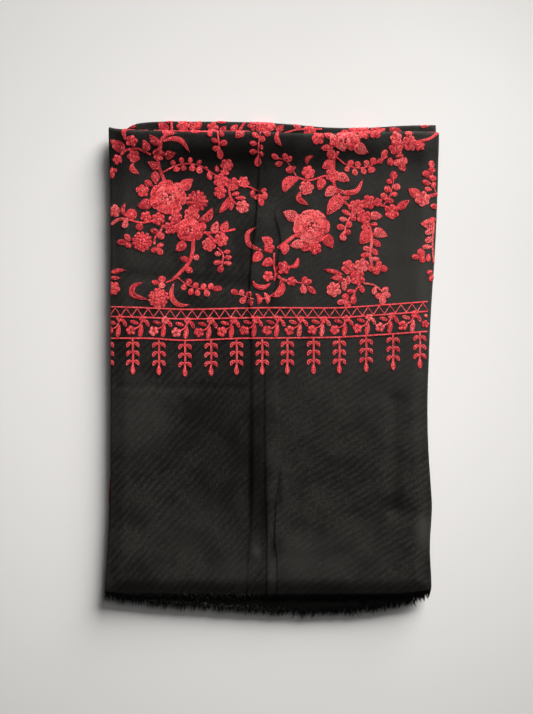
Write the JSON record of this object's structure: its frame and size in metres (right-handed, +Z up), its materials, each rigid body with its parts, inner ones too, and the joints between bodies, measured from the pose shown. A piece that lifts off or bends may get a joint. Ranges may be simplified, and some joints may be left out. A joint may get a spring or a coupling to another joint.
{
  "type": "folded embroidered shawl",
  "caption": "Folded fine wool shawl with frayed ends and floral chain-stitch embroidery, lying flat in a neat oblong stack.",
  "frame": {"origin": "middle of the flat underside of the folded stack", "axes": "+X to the right across the folded width, +Y from the frayed hems to the folds across the cloth, +Z up"},
  "size_m": [0.354, 0.5255, 0.0192],
  "materials": {
    "cloth": "black fulled fine wool twill, soft and matt, with a slight sheen",
    "fray": "loose black wool threads of the frayed ends",
    "thread": "coral red chain-stitch embroidery thread with a soft lustre"
  },
  "bodies": {
    "root": {"front_panel": "cloth", "twin_panel": "cloth", "inner_layers": "cloth", "base_panel": "cloth", "front_fray": "fray", "twin_fray": "fray", "base_fray": "fray"}
  },
  "joints": []
}
